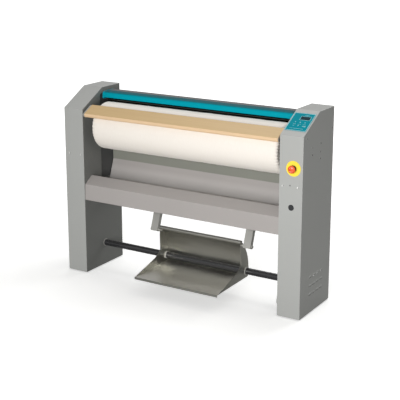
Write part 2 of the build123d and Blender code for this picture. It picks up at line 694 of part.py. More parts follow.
def strap_link(centre):
    """A channel-section pull link with a closed pivot below and an open one above."""
    web = STRAP_PIN + 9.5
    section = Pos(0, STRAP_DEPTH / 2 - web) * Rectangle(STRAP_WIDTH, STRAP_DEPTH)
    inside = STRAP_WIDTH - 2 * STRAP_SHEET
    section -= Pos(0, STRAP_DEPTH / 2 - web + STRAP_SHEET) * Rectangle(inside, STRAP_DEPTH)
    bar = Pos(0, 0, -12) * extrude(section, STRAP_SPAN + 24)
    for up, radius in ((0, STRAP_PIN + RUNNING), (STRAP_SPAN, STRAP_PIN + OPEN_PIVOT_GAP)):
        bar -= Pos(0, 0, up) * Rot(0, 90, 0) * Cylinder(radius, 50)
    return Pos(centre, *STRAP_FOOT) * Rot(-STRAP_LEAN, 0, 0) * bar


def rocker_arm(centre):
    """A lever on the rocker shaft with the pin that hangs in the strap."""
    lever = carry(two_bosses(ROCKER_AXIS, 22, STRAP_HEAD, 10.5), centre - 4, centre + 4)
    reach = STRAP_WIDTH / 2 + 4
    pin = rod(STRAP_PIN, centre - reach, centre + reach, STRAP_HEAD)
    return lever - rod(ROCKER_SHAFT, centre - 5, centre + 5, ROCKER_AXIS) + pin


write("pedal_plate", pedal_plate())
write("pedal_bushes", pedal_bush(PEDAL_LEFT, -1), pedal_bush(PEDAL_RIGHT, 1))
LEFT_STRAP, RIGHT_STRAP = STRAP_CENTRES
write("strap_bolts", strap_bolt(PEDAL_LEFT, LEFT_STRAP), strap_bolt(PEDAL_RIGHT, RIGHT_STRAP))
write("strap_links", strap_link(LEFT_STRAP), strap_link(RIGHT_STRAP))
write("rocker_arms", rocker_arm(LEFT_STRAP), rocker_arm(RIGHT_STRAP))

shaft = rod(ROCKER_SHAFT, -ROCKER_HALF, ROCKER_HALF, ROCKER_AXIS)
crank = rod(26, ROCKER_HALF, ROCKER_HALF + 5, ROCKER_AXIS)
crank += rod(CRANK_PIN_RADIUS, ROCKER_HALF + 5, CHEST_HALF + ARM_THICKNESS + 2, CRANK_PIN)
write("rocker_shaft", shaft + crank + other_side(crank))

# ---- Feed board ---------------------------------------------------------------------------
board_slope = atan2(BOARD_REAR[1] - BOARD_FRONT[1], BOARD_REAR[0] - BOARD_FRONT[0])


def below(point, depth):
    """A point that lies under the board's top by depth, square to it."""
    return (point[0] + depth * sin(board_slope), point[1] - depth * cos(board_slope))


def feed_board():
    """A wooden board with a deep rounded nose, thinner at the rear to clear the roller."""
    corners = [BOARD_REAR, below(BOARD_REAR, BOARD_THIN), BOARD_TOE, BOARD_FRONT]
    section = make_face(Polyline(*corners, close=True))
    section = fillet(section.vertices().sort_by_distance((*BOARD_FRONT, 0))[0], 4.0)
    section = fillet(section.vertices().sort_by_distance((*BOARD_TOE, 0))[0], 12.0)
    return carry(section, BOARD_LEFT, BOARD_RIGHT)


def board_bracket(near, far):
    """An end piece against the board, with the ear that its pin is riveted in."""
    ear = [
        below(BOARD_FRONT, 6), below(BOARD_REAR, 4), below(BOARD_REAR, BOARD_THIN + 2),
        (-84, 930), (-92, 925), (-105, 925), (-116, 931),
    ]
    return prism(ear, near, far)


def board_pin(bracket_face):
    """The board's pivot pin, with the little lever that works the switch."""
    pin = rod(BOARD_PIN, bracket_face, FRAME_OUT + 12, BOARD_PIVOT)
    lever = two_bosses(BOARD_PIVOT, 9, (BOARD_PIVOT[0] + 24, BOARD_PIVOT[1] - 4), 5)
    return pin + carry(lever, FRAME_OUT + 4, FRAME_OUT + 10)


write("feed_board", feed_board())
end_cap = board_bracket(BOARD_LEFT - END_CAP, BOARD_LEFT)
end_plate = board_bracket(BOARD_RIGHT, BOARD_RIGHT + END_PLATE)
write("feed_board_brackets", end_cap, end_plate)
left_pin = other_side(board_pin(END_CAP - BOARD_LEFT))
write("feed_board_pins", left_pin, board_pin(BOARD_RIGHT + END_PLATE))
switch = Pos(FRAME_OUT + 8, BOARD_PIVOT[0] + 26, BOARD_PIVOT[1] + 16) * Box(16, 30, 17)
write("board_switches", *both_sides(fillet(switch.edges().filter_by(Axis.X), 2)))

# ---- Control panel --------------------------------------------------------------------------
fascia = RectangleRounded(*FASCIA_SIZE, 4)
for at in KEYS.values():
    fascia -= Pos(at[0] - FASCIA_CENTRE[0], at[1] - FASCIA_CENTRE[1]) * Circle(KEY_RADIUS + RUNNING)
opening = Pos(DISPLAY_CENTRE[0] - FASCIA_CENTRE[0], DISPLAY_CENTRE[1] - FASCIA_CENTRE[1])
fascia -= opening * Rectangle(*DISPLAY_SIZE)
write("control_fascia", extrude(chamfer_plane(FASCIA_CENTRE) * fascia, FASCIA_THICKNESS))
window = chamfer_plane(DISPLAY_CENTRE, 0.2) * Rectangle(*DISPLAY_SIZE)
write("display_window", extrude(window, FASCIA_THICKNESS - 0.4))


def key_cap(at):
    """A round push key: proud cap, retaining collar under the fascia, and stem."""
    profile = Polyline(
        (0, -11), (3, -11), (3, -1.7), (7.6, -1.7), (7.6, -0.1),
        (KEY_RADIUS, -0.1), (KEY_RADIUS, 2.3), (KEY_RADIUS - 0.7, 2.9), (0, 3.1), close=True,
    )
    return chamfer_plane(at) * revolve(Plane.XZ * make_face(profile), axis=Axis.Z)


for node, at in KEYS.items():
    write(node, key_cap(at))


def controller_board():
    """The circuit board on four posts, with a switch under each key and the display."""
    board = extrude(chamfer_plane(FASCIA_CENTRE, BOARD_LIFT) * Rectangle(100, 122), 1.6)
    for dx in (-46, 46):
        for dy in (-57, 57):
            at = (FASCIA_CENTRE[0] + dx, FASCIA_CENTRE[1] + dy)
            board += extrude(chamfer_plane(at, BOARD_LIFT) * Circle(2.5), -BOARD_LIFT)
    for at in KEYS.values():
        board += extrude(chamfer_plane(at, BOARD_LIFT) * Rectangle(8, 8), 4.8)
    size = (DISPLAY_SIZE[0] - 4, DISPLAY_SIZE[1] - 4)
    return board + extrude(chamfer_plane(DISPLAY_CENTRE, BOARD_LIFT) * Rectangle(*size), 17.2)


write("controller_board", controller_board())

# ---- Emergency stop and other fittings ------------------------------------------------------
on_estop = front_plane(ESTOP)
write("estop_plate", on_estop * extrude(Circle(ESTOP_PLATE) - Circle(ESTOP_BARREL), 2))


def estop_collar():
    """The bezel with its threaded barrel through the front and the nut behind."""
    bore = PLUNGER_RADIUS + RUNNING
    profile = make_face(Polyline(
        (bore, -14), (ESTOP_BARREL, -14), (ESTOP_BARREL, 2), (17, 2),
        (17, 7), (14.5, 12), (bore, 12), close=True,
    ))
    nut = Pos(0, 0, -8) * extrude(RegularPolygon(16, 6) - Circle(ESTOP_BARREL), 6)
    return on_estop * (revolve(Plane.XZ * profile, axis=Axis.Z) + nut)


def estop_head():
    """The mushroom head, domed on top, with a socket for the plunger."""
    crown = 35.0
    dome = extrude(Circle(ESTOP_HEAD), 20) & Pos(0, 0, 14 - crown) * Sphere(crown)
    dome = chamfer(dome.edges().group_by(Axis.Z)[0], 3)
    socket = extrude(Circle(PLUNGER_RADIUS + RUNNING), 9)
    return on_estop * Pos(0, 0, 17) * (dome - socket)


write("estop_collar", estop_collar())
write("estop_plunger", on_estop * Pos(0, 0, -22) * extrude(Circle(PLUNGER_RADIUS), 48))
write("estop_head", estop_head())
block = fillet(Box(36, 36, 40).edges().filter_by(Axis.Z), 2)
block = Pos(0, 0, -34) * block - Pos(0, 0, -20) * Cylinder(PLUNGER_RADIUS + 1, 26)
write("estop_contact_block", on_estop * block)

plug_cap = extrude(Circle(15.5), 2.6)
plug_cap = fillet(plug_cap.edges().group_by(Axis.Z)[-1], 1.8)
plug_barrel = extrude(Circle(PLUG_BARREL) - Circle(PLUG_BARREL - 2), -8)
write("hole_plug", front_plane(PLUG) * (plug_cap + plug_barrel))

front_bolt = bolt(4.8, 2.4, 2.5, 10) - Pos(0, 0, 1.2) * extrude(RegularPolygon(2.4, 6), 3)
screws = [front_plane(at) * front_bolt for at in LEFT_FRONT_SCREWS + RIGHT_FRONT_SCREWS]
for y, z in SIDE_SCREWS:
    screws += both_sides(Pos(OUTER_X, y, z) * Rot(0, 90, 0) * bolt(4.5, 1.2, 2.5, 8))
back_head = Rot(-90, 0, 0) * extrude(Circle(4.5), BACK_Y - COVER_BACK_Y)
for z in BACK_SCREW_ZS:
    screws += both_sides(Pos(COLUMN_X, COVER_BACK_Y, z) * back_head)
write("casing_screws", *screws)


def hood_slice(points, width):
    """An (x, z) profile of the cable hood, as wide as given about its middle."""
    face = Plane.XZ * make_face(Polyline(*points, close=True))
    return Pos(0, HOOD_Y, 0) * extrude(face, amount=width / 2, both=True)


def cable_hood():
    """A moulded hood over the cable inlet, open below, on the right column's inner side."""
    outside = [
        (INNER_X, HOOD_Z + 38), (INNER_X - 9, HOOD_Z + 20), (INNER_X - 14, HOOD_Z - 12),
        (INNER_X - 14, HOOD_Z - 26), (INNER_X - 9, HOOD_Z - 36), (INNER_X, HOOD_Z - 36),
    ]
    inside = [
        (INNER_X + 1, HOOD_Z + 31), (INNER_X - 7, HOOD_Z + 17), (INNER_X - 11.5, HOOD_Z - 12),
        (INNER_X - 11, HOOD_Z - 45), (INNER_X + 1, HOOD_Z - 45),
    ]
    return hood_slice(outside, 40) - hood_slice(inside, 34)


write("cable_hood", cable_hood())
nut = Pos(HOOD_Y, HOOD_Z) * (RegularPolygon(14, 6) - Circle(5))
gland = ring(GLAND_RADIUS, 5, INNER_X - 2, INNER_X + 20, (HOOD_Y, HOOD_Z))
gland += carry(nut, INNER_X - 6, INNER_X) + carry(nut, INNER_X + 2, INNER_X + 7)
write("cable_gland", gland)
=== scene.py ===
import json
from math import cos, pi, radians, sin, sqrt

import bpy
from mathutils import Matrix, Vector


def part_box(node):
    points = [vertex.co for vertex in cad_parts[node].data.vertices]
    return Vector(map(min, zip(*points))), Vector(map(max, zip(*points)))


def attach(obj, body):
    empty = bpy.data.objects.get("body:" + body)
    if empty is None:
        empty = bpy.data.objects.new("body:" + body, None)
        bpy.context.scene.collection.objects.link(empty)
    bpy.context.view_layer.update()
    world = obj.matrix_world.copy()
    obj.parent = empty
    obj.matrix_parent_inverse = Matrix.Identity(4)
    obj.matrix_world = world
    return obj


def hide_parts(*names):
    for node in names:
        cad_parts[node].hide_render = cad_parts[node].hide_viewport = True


# A roller ironer for flat linen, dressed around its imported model. Metres; X to the
# operator's right, Y to the rear, Z up.
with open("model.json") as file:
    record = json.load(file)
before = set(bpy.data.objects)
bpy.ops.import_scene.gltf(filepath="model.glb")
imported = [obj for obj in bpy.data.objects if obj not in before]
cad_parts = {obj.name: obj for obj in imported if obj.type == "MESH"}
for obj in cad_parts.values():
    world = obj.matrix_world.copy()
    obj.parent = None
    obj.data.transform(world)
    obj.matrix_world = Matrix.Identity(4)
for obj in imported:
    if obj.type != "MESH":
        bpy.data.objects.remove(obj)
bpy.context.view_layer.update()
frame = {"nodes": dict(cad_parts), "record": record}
NODES = frame["nodes"]

# ---- Places read from the frame -------------------------------------------------------
CLOTH_LOW, CLOTH_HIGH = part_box("roller_cover")
ROLLER_Y = (CLOTH_LOW.y + CLOTH_HIGH.y) / 2
ROLLER_Z = (CLOTH_LOW.z + CLOTH_HIGH.z) / 2
ROLLER_RADIUS = (CLOTH_HIGH.z - CLOTH_LOW.z) / 2

# ---- Camera and light -----------------------------------------------------------------
CAMERA_PLACE = (2.8338, -4.5186, 2.0583)
CAMERA_YAW = -0.5470
CAMERA_PITCH = 0.2433
CAMERA_LENS = 90.84
CAMERA_SHIFT = -0.1
SENSOR = 36.0
SOFTBOXES = {  # each panel's place, its two sides and its watts
    "key_light": ((1.05, -3.6, 1.2), (1.8, 1.6), 112.0),
    "top_light": ((-0.3, 1.9, 4.4), (4.0, 3.0), 78.0),
    "back_light": ((1.5, 4.5, 2.6), (3.0, 2.0), 70.0),
}
LIT_POINT = Vector((0.0, 0.0, 0.6))
ROOM_LIGHT = 0.3
ROOM_IN_GLOSS = 0.2
FLOOR_SIZE = 60.0
WHITE = (1.0, 1.0, 1.0, 1.0)


def point_along(item, direction):
    """Turn a camera or lamp to look along a direction."""
    item.rotation_euler = Vector(direction).to_track_quat("-Z", "Y").to_euler()


def add_camera():
    """A long lens above standing height, to the machine's right, looking slightly down."""
    data = bpy.data.cameras.new("camera")
    data.lens = CAMERA_LENS
    data.sensor_width = SENSOR
    data.shift_y = CAMERA_SHIFT
    camera = bpy.data.objects.new("camera", data)
    camera.location = CAMERA_PLACE
    level = cos(CAMERA_PITCH)
    point_along(camera, (sin(CAMERA_YAW) * level, cos(CAMERA_YAW) * level, -sin(CAMERA_PITCH)))
    bpy.context.collection.objects.link(camera)
    bpy.context.scene.camera = camera


def add_softbox(name, where, size, power):
    """A large white panel that lights the machine without hard shadows."""
    data = bpy.data.lights.new(name, "AREA")
    data.shape = "RECTANGLE"
    data.size, data.size_y = size
    data.energy = power
    lamp = bpy.data.objects.new(name, data)
    lamp.location = where
    point_along(lamp, LIT_POINT - Vector(where))
    bpy.context.collection.objects.link(lamp)


def add_room():
    """An even white room: dim as a light, brighter in reflections and behind the machine."""
    world = bpy.data.worlds.new("room")
    world.use_nodes = True
    tree = world.node_tree
    path = node(tree, "LightPath").outputs
    strength = math(tree, "MULTIPLY", path["Is Glossy Ray"], ROOM_IN_GLOSS)
    strength = math(tree, "ADD", strength, path["Is Camera Ray"])
    walls = tree.nodes["Background"].inputs
    tree.links.new(math(tree, "ADD", strength, ROOM_LIGHT), walls["Strength"])
    walls["Color"].default_value = WHITE
    bpy.context.scene.world = world
    bpy.context.scene.view_settings.view_transform = "Standard"


def add_studio():
    """A pale floor, the room and three soft panels."""
    add_room()
    for name, (where, size, power) in SOFTBOXES.items():
        add_softbox(name, where, size, power)
    bpy.ops.mesh.primitive_plane_add(size=FLOOR_SIZE)
    floor = bpy.context.object
    floor.name = "floor"
    floor.data.materials.append(plain_floor())


# ---- Building materials ---------------------------------------------------------------
def node(tree, kind, inputs=None, **settings):
    """One shader node; each input is a value or another node's output."""
    made = tree.nodes.new("ShaderNode" + kind)
    for name, value in settings.items():
        setattr(made, name, value)
    for name, value in (inputs or {}).items():
        if isinstance(value, bpy.types.NodeSocket):
            tree.links.new(value, made.inputs[name])
        else:
            made.inputs[name].default_value = value
    return made


def math(tree, operation, a, b=0.0, clamp=False):
    """One step of arithmetic on one or two values."""
    return node(tree, "Math", {0: a, 1: b}, operation=operation, use_clamp=clamp).outputs[0]


def spread(tree, value, low, high, to_low=0.0, to_high=1.0):
    """Map the stretch from low to high of a value onto another range, cut off at its ends."""
    inputs = {"Value": value, "From Min": low, "From Max": high,
              "To Min": to_low, "To Max": to_high}
    return node(tree, "MapRange", inputs).outputs["Result"]


def blend_colour(tree, amount, a, b):
    """Colour a where the amount is nought, and b where it is one."""
    return node(tree, "Mix", {0: amount, 6: a, 7: b}, data_type="RGBA").outputs[2]


def scaled(tree, vector, by):
    """A colour or a vector, made larger or smaller by a number."""
    return node(tree, "VectorMath", {0: vector, "Scale": by}, operation="SCALE").outputs[0]


def place(tree, scale=(1.0, 1.0, 1.0)):
    """A point of the piece, in metres, with each direction stretched as given."""
    found = node(tree, "TexCoord").outputs["Object"]
    return node(tree, "Mapping", {"Vector": found, "Scale": scale}).outputs["Vector"]


def noise(tree, where, scale, detail=3.0, roughness=0.5):
    """Soft random patches, scale of them to the metre."""
    inputs = {"Vector": where, "Scale": scale, "Detail": detail, "Roughness": roughness}
    return node(tree, "TexNoise", inputs).outputs["Fac"]


def facing(tree):
    """The three parts of the direction that a surface faces, each from -1 to 1."""
    return node(tree, "SeparateXYZ", {0: node(tree, "NewGeometry").outputs["Normal"]}).outputs


def height_from(tree, start, full):
    """Nought at one height above the floor and one at the other, which may be lower."""
    height = node(tree, "SeparateXYZ", {0: place(tree)}).outputs["Z"]
    return spread(tree, height, start, full)


def linear(code):
    """A colour written as six hex digits, as linear light and opaque."""
    parts = [int(code[i:i + 2], 16) / 255 for i in (0, 2, 4)]
    return (*[p / 12.92 if p <= 0.04045 else ((p + 0.055) / 1.055) ** 2.4 for p in parts], 1.0)


COLOUR = "NodeSocketColor"
NUMBER = "NodeSocketFloat"


def new_group(name, inputs, outputs):
    """An empty shader group with named sockets; returns it with its two ends."""
    tree = bpy.data.node_groups.new(name, "ShaderNodeTree")
    kinds = {float: NUMBER, tuple: COLOUR}
    for label, value in inputs.items():
        socket = tree.interface.new_socket(label, in_out="INPUT", socket_type=kinds[type(value)])
        socket.default_value = value
    for label, kind in outputs.items():
        tree.interface.new_socket(label, in_out="OUTPUT", socket_type=kind)
    given = tree.nodes.new("NodeGroupInput").outputs
    return tree, given, tree.nodes.new("NodeGroupOutput").inputs


def use(tree, group, **values):
    """Place a shared group in a material, with the values given for its sockets."""
    made = tree.nodes.new("ShaderNodeGroup")
    made.node_tree = group
    for name, value in values.items():
        socket = made.inputs[name.replace("_", " ").capitalize()]
        if isinstance(value, bpy.types.NodeSocket):
            tree.links.new(value, socket)
        else:
            socket.default_value = value
    return made.outputs


# ---- Surface effects that several finishes share -----------------------------------------
RUBBED_RADIUS = 0.0012
DUST_COLOUR = "B9B5AC"


def wear_group():
    """Rubbed corners, dust that settles on top, and slow unevenness over a whole panel."""
    values = {"Color": (0.5, 0.5, 0.5, 1.0), "Edge color": (0.6, 0.6, 0.6, 1.0),
              "Edge": 0.3, "Dust": 0.05, "Unevenness": 0.01, "Roughness": 0.4}
    tree, given, out = new_group("handling_wear", values, {"Color": COLOUR, "Roughness": NUMBER})
    where = place(tree)
    rounded = node(tree, "Bevel", {"Radius": RUBBED_RADIUS}, samples=4).outputs["Normal"]
    flat = node(tree, "NewGeometry").outputs["Normal"]
    turned = node(tree, "VectorMath", {0: rounded, 1: flat}, operation="DOT_PRODUCT")
    corner = spread(tree, turned.outputs["Value"], 0.99, 0.85)
    patches = noise(tree, where, 60.0, 4.0)
    rubbed = math(tree, "MULTIPLY", corner, spread(tree, patches, 0.4, 0.6))
    rubbed = math(tree, "MULTIPLY", rubbed, given["Edge"])
    slow = spread(tree, noise(tree, where, 3.0, 3.0), 0.3, 0.7, -1.0, 1.0)
    slow = math(tree, "MULTIPLY", slow, given["Unevenness"])
    toned = scaled(tree, given["Color"], math(tree, "ADD", slow, 1.0))
    level = spread(tree, facing(tree)["Z"], 0.6, 1.0)
    dusty = math(tree, "MULTIPLY", level, spread(tree, patches, 0.2, 0.8))
    dusty = math(tree, "MULTIPLY", dusty, given["Dust"])
    worn = blend_colour(tree, rubbed, toned, given["Edge color"])
    tree.links.new(blend_colour(tree, dusty, worn, linear(DUST_COLOUR)), out["Color"])
    rough = math(tree, "ADD", given["Roughness"], math(tree, "MULTIPLY", dusty, 0.8))
    tree.links.new(math(tree, "ADD", rough, math(tree, "MULTIPLY", slow, 2.0)), out["Roughness"])
    return tree


def peel_group():
    """The fine orange peel of sprayed powder paint, as a height."""
    tree, given, out = new_group("orange_peel", {"Size": 0.0025}, {"Height": NUMBER})
    cells = noise(tree, place(tree), math(tree, "DIVIDE", 1.0, given["Size"]), 2.0)
    tree.links.new(spread(tree, cells, 0.3, 0.7), out["Height"])
    return tree


def brushed_group():
    """Fine lines left by brushing or drawing along X, as a height."""
    values = {"Length": 0.15, "Width": 0.0006}
    tree, given, out = new_group("brushed_lines", values, {"Height": NUMBER})
    along = math(tree, "DIVIDE", 1.0, given["Length"])
    across = math(tree, "DIVIDE", 1.0, given["Width"])
    sizes = node(tree, "CombineXYZ", {"X": along, "Y": across, "Z": across}).outputs[0]
    where = node(tree, "VectorMath", {0: place(tree), 1: sizes}, operation="MULTIPLY").outputs[0]
    tree.links.new(noise(tree, where, 1.0, 4.0, 0.7), out["Height"])
    return tree


def roller_cloth_group():
    """Woven threads counted along the roller and round it."""
    results = {"Height": NUMBER, "Slub": NUMBER}
    tree, given, out = new_group("roller_weave", {"Thread": 0.0011}, results)
    part = node(tree, "SeparateXYZ", {0: place(tree)}).outputs
    y = math(tree, "SUBTRACT", part["Y"], ROLLER_Y)
    z = math(tree, "SUBTRACT", part["Z"], ROLLER_Z)
    turn = math(tree, "MULTIPLY", math(tree, "ARCTAN2", y, z), ROLLER_RADIUS)
    count = math(tree, "DIVIDE", 2 * pi, given["Thread"])
    warp = math(tree, "SINE", math(tree, "MULTIPLY", part["X"], count))
    weft = math(tree, "SINE", math(tree, "MULTIPLY", turn, count))
    woven = math(tree, "MULTIPLY", warp, weft)
    where = node(tree, "CombineXYZ", {"X": part["X"], "Y": turn, "Z": 0.0}).outputs[0]
    long_way = node(tree, "Mapping", {"Vector": where, "Scale": (900.0, 30.0, 1.0)}).outputs[0]
    slub = noise(tree, long_way, 1.0, 3.0)
    tree.links.new(math(tree, "ADD", woven, math(tree, "MULTIPLY", slub, 1.5)), out["Height"])
    tree.links.new(slub, out["Slub"])
    return tree


def grain_group():
    """Fine close wood grain along X, with short open pores."""
    values = {"Light": (0.7, 0.5, 0.3, 1.0), "Dark": (0.4, 0.25, 0.12, 1.0)}
    tree, given, out = new_group("wood_grain", values, {"Color": COLOUR, "Height": NUMBER})
    drift = noise(tree, place(tree, (0.8, 12.0, 12.0)), 1.0, 3.0)
    streaks = noise(tree, place(tree, (3.0, 260.0, 260.0)), 1.0, 4.0, 0.6)
    pores = spread(tree, noise(tree, place(tree, (40.0, 1500.0, 1500.0)), 1.0, 2.0), 0.6, 0.72)
    fine = spread(tree, streaks, 0.3, 0.75, 0.0, 0.45)
    broad = spread(tree, drift, 0.3, 0.7, 0.0, 0.25)
    mixed = math(tree, "ADD", fine, broad)
    mixed = math(tree, "ADD", mixed, math(tree, "MULTIPLY", pores, 0.3), clamp=True)
    tree.links.new(blend_colour(tree, mixed, given["Light"], given["Dark"]), out["Color"])
    tree.links.new(math(tree, "SUBTRACT", 1.0, pores), out["Height"])
    return tree


def skin_group():
    """The fine skin of moulded plastic, or with a larger size that of a casting."""
    tree, given, out = new_group("moulded_skin", {"Size": 0.0008}, {"Height": NUMBER})
    scale = math(tree, "DIVIDE", 1.0, given["Size"])
    tree.links.new(noise(tree, place(tree), scale, 4.0, 0.6), out["Height"])
    return tree


def felt_group():
    """Matted fibres of felt or insulation blanket."""
    results = {"Height": NUMBER, "Shade": NUMBER}
    tree, given, out = new_group("matted_fibres", {"Size": 0.002}, results)
    scale = math(tree, "DIVIDE", 1.0, given["Size"])
    tufts = noise(tree, place(tree), scale, 6.0, 0.7)
    tree.links.new(tufts, out["Height"])
    tree.links.new(spread(tree, tufts, 0.3, 0.7, 0.82, 1.05), out["Shade"])
    return tree


WEAR = wear_group()
PEEL = peel_group()
BRUSHED = brushed_group()
ROLLER_WEAVE = roller_cloth_group()
GRAIN = grain_group()
SKIN = skin_group()
FIBRES = felt_group()


# ---- Kinds of finish ----------------------------------------------------------------------
def new_material(name, **constants):
    """A material with one principled shader, its plain numbers set on its own sockets."""
    made = bpy.data.materials.new(name)
    made.use_nodes = True
    tree = made.node_tree
    shader = tree.nodes["Principled BSDF"]
    for label, value in constants.items():
        shader.inputs[label.replace("_", " ")].default_value = value
    return made, tree, shader


def raise_by(tree, shader, height, distance, strength):
    """Feed a height through a bump node to the shader's normal."""
    bump = node(tree, "Bump", {"Height": height, "Distance": distance, "Strength": strength})
    tree.links.new(bump.outputs["Normal"], shader.inputs["Normal"])


def two_tone(tree, code, shade):
    """A colour, blended with the second colour of each shade by that shade's mask."""
    colour = linear(code)
    for second, mask in shade:
        colour = blend_colour(tree, mask(tree), colour, linear(second))
    return colour


def wear_surface(tree, shader, colour, edge_code, edge, dust, unevenness, roughness):
    """Link a worn colour and roughness to the shader."""
    worn = use(tree, WEAR, color=colour, edge_color=linear(edge_code), edge=edge,
               dust=dust, unevenness=unevenness, roughness=roughness)
    tree.links.new(worn["Color"], shader.inputs["Base Color"])
    tree.links.new(worn["Roughness"], shader.inputs["Roughness"])
    return worn


def sprayed_paint(name, code, roughness=0.42, edge_code="D8D8D4", shade=(), shine=0.5):
    """Powder paint on sheet metal; shade gives a second colour and the mask for it."""
    made, tree, shader = new_material(name, Specular_IOR_Level=shine)
    colour = two_tone(tree, code, shade)
    wear_surface(tree, shader, colour, edge_code, 0.35, 0.06, 0.012, roughness)
    raise_by(tree, shader, use(tree, PEEL, size=0.0022)["Height"], 0.000012, 0.5)
    return made


def drawn_metal(name, code, roughness=0.36, shade=()):
    """Bare metal with fine lines along X; shade is as for paint."""
    made, tree, shader = new_material(name, Metallic=1.0)
    lines = use(tree, BRUSHED, length=0.2, width=0.0007)["Height"]
    colour = two_tone(tree, code, shade)
    worn = wear_surface(tree, shader, colour, "D9D9D6", 0.5, 0.05, 0.03, roughness)
    rough = math(tree, "ADD", worn["Roughness"], spread(tree, lines, 0.3, 0.7, -0.05, 0.08))
    tree.links.new(rough, shader.inputs["Roughness"])
    raise_by(tree, shader, lines, 0.00002, 0.6)
    return made


def plated_steel(name, code, roughness, metal=1.0, shade=()):
    """Zinc plate or ground steel with a faint mottle; shade is as for paint."""
    made, tree, shader = new_material(name, Metallic=metal)
    colour = two_tone(tree, code, shade)
    wear_surface(tree, shader, colour, "C9C8C4", 0.4, 0.08, 0.06, roughness)
    raise_by(tree, shader, use(tree, SKIN, size=0.0015)["Height"], 0.00002, 0.4)
    return made


def moulded(name, code, roughness=0.45, size=0.0008, depth=0.00003, coat=0.0, shine=0.5,
            dust=0.05):
    """Moulded plastic or rubber; size and depth are those of its skin."""
    made, tree, shader = new_material(name, Coat_Weight=coat, Coat_Roughness=0.12,
                                      Specular_IOR_Level=shine)
    wear_surface(tree, shader, linear(code), "8C8C88", 0.12, dust, 0.02, roughness)
    raise_by(tree, shader, use(tree, SKIN, size=size)["Height"], depth, 0.5)
    return made


def printed_film(name, code, roughness, shine=0.5, dust=0.05):
    """Smooth film or ink on the control panel and the stop head."""
    return moulded(name, code, roughness, 0.0005, 0.00001, shine=shine, dust=dust)


def casting(name, code):
    """A rough casting under enamel."""
    return moulded(name, code, roughness=0.5, size=0.004, depth=0.0003, coat=0.15)


def levelling_foot():
    """A rubber pad with a plated stud above it."""
    made, tree, shader = new_material("levelling_foot")
    stud = height_from(tree, 0.0042, 0.0044)
    colour = blend_colour(tree, stud, linear("202020"), linear("A6A6A1"))
    wear_surface(tree, shader, colour, "6C6C68", 0.2, 0.05, 0.04, 0.45)
    tree.links.new(stud, shader.inputs["Metallic"])
    raise_by(tree, shader, use(tree, SKIN, size=0.001)["Height"], 0.00004, 0.5)
    return made


def woven_cloth():
    """The roller's cream cover."""
    made, tree, shader = new_material("woven_cloth", Sheen_Weight=0.2, Sheen_Roughness=0.5)
    woven = use(tree, ROLLER_WEAVE, thread=0.0011)
    slow = noise(tree, place(tree, (2.0, 5.0, 5.0)), 1.0, 3.0)
    thread = spread(tree, woven["Slub"], 0.25, 0.75)
    colour = blend_colour(tree, thread, linear("F2EAE0"), linear("F8F2EA"))
    ironed = spread(tree, slow, 0.45, 0.8, 0.0, 0.15)
    colour = blend_colour(tree, ironed, colour, linear("EADFCE"))
    tree.links.new(colour, shader.inputs["Base Color"])
    tree.links.new(spread(tree, slow, 0.2, 0.8, 0.85, 0.95), shader.inputs["Roughness"])
    raise_by(tree, shader, woven["Height"], 0.0001, 0.4)
    return made


def felted(name, code, size):
    """Wadding and insulation blanket."""
    made, tree, shader = new_material(name, Sheen_Weight=0.2, Roughness=0.95)
    fibres = use(tree, FIBRES, size=size)
    tree.links.new(scaled(tree, linear(code)[:3], fibres["Shade"]), shader.inputs["Base Color"])
    raise_by(tree, shader, fibres["Height"], 0.0008, 0.8)
    return made


def varnished_wood():
    """The feed board's pale wood: a top made darker, painted shade, and a front made lighter,
    painted light.
    """
    made, tree, shader = new_material("varnished_wood", Coat_Weight=0.12, Coat_Roughness=0.3)
    # Painted shade and light: the colour darkens where the board faces up and stays lighter on
    # its front.
    top = spread(tree, facing(tree)["Z"], 0.35, 0.8)
    light = blend_colour(tree, top, linear("EBCBA4"), linear("D1B381"))
    dark = blend_colour(tree, top, linear("DDBA92"), linear("C2A06E"))
    grain = use(tree, GRAIN, light=light, dark=dark)
    wear_surface(tree, shader, grain["Color"], "F0DCB8", 0.3, 0.02, 0.015, 0.45)
    raise_by(tree, shader, grain["Height"], 0.00003, 0.5)
    return made


def display_glass():
    """Dark glass over the display, faintly smeared."""
    made, tree, shader = new_material("display_glass", Specular_IOR_Level=0.04)
    smear = noise(tree, place(tree), 90.0, 4.0)
    colour = blend_colour(tree, spread(tree, smear, 0.3, 0.8), linear("0A2A33"), linear("123A44"))
    tree.links.new(colour, shader.inputs["Base Color"])
    tree.links.new(spread(tree, smear, 0.3, 0.8, 0.15, 0.3), shader.inputs["Roughness"])
    return made


def plain_floor():
    """A pale studio floor, whiter to the eye than the light that it throws back."""
    made, tree, shader = new_material("plain_floor", Specular_IOR_Level=0.0)
    seen = node(tree, "LightPath").outputs["Is Camera Ray"]
    cloud = noise(tree, place(tree), 0.8, 2.0)
    pale = blend_colour(tree, cloud, linear("F6F6F4"), linear("FBFBFA"))
    tree.links.new(blend_colour(tree, seen, linear("A3A3A1"), pale), shader.inputs["Base Color"])
    far = node(tree, "VectorMath", {0: place(tree)}, operation="LENGTH").outputs["Value"]
    glow = spread(tree, far, 1.2, 5.0, 0.35, 1.0)
    tree.links.new(math(tree, "MULTIPLY", seen, glow), shader.inputs["Emission Strength"])
    shader.inputs["Emission Color"].default_value = WHITE
    tree.links.new(spread(tree, cloud, 0.2, 0.8, 0.85, 0.95), shader.inputs["Roughness"])
    return made


# ---- Where a finish takes its second colour: one there, and nought elsewhere --------------
def under_the_lip(tree):
    """Below the chest's lit front cover, where its end arms are dark."""
    return height_from(tree, 1.006, 1.004)


def painted_shade_facing_up(tree):
    """Where the surface faces up, which takes a painted shade."""
    return spread(tree, facing(tree)["Z"], 0.5, 0.95)


def painted_roller_shadow_above_bend(tree):
    """On the tray plate's upper flange, greyed as a painted shadow of the roller."""
    return height_from(tree, 0.629, 0.632)


def painted_light_near_tray_floor(tree):
    """Low on the tray plate, made lighter: painted light where little light reaches the tray."""
    return height_from(tree, 0.605, 0.535)


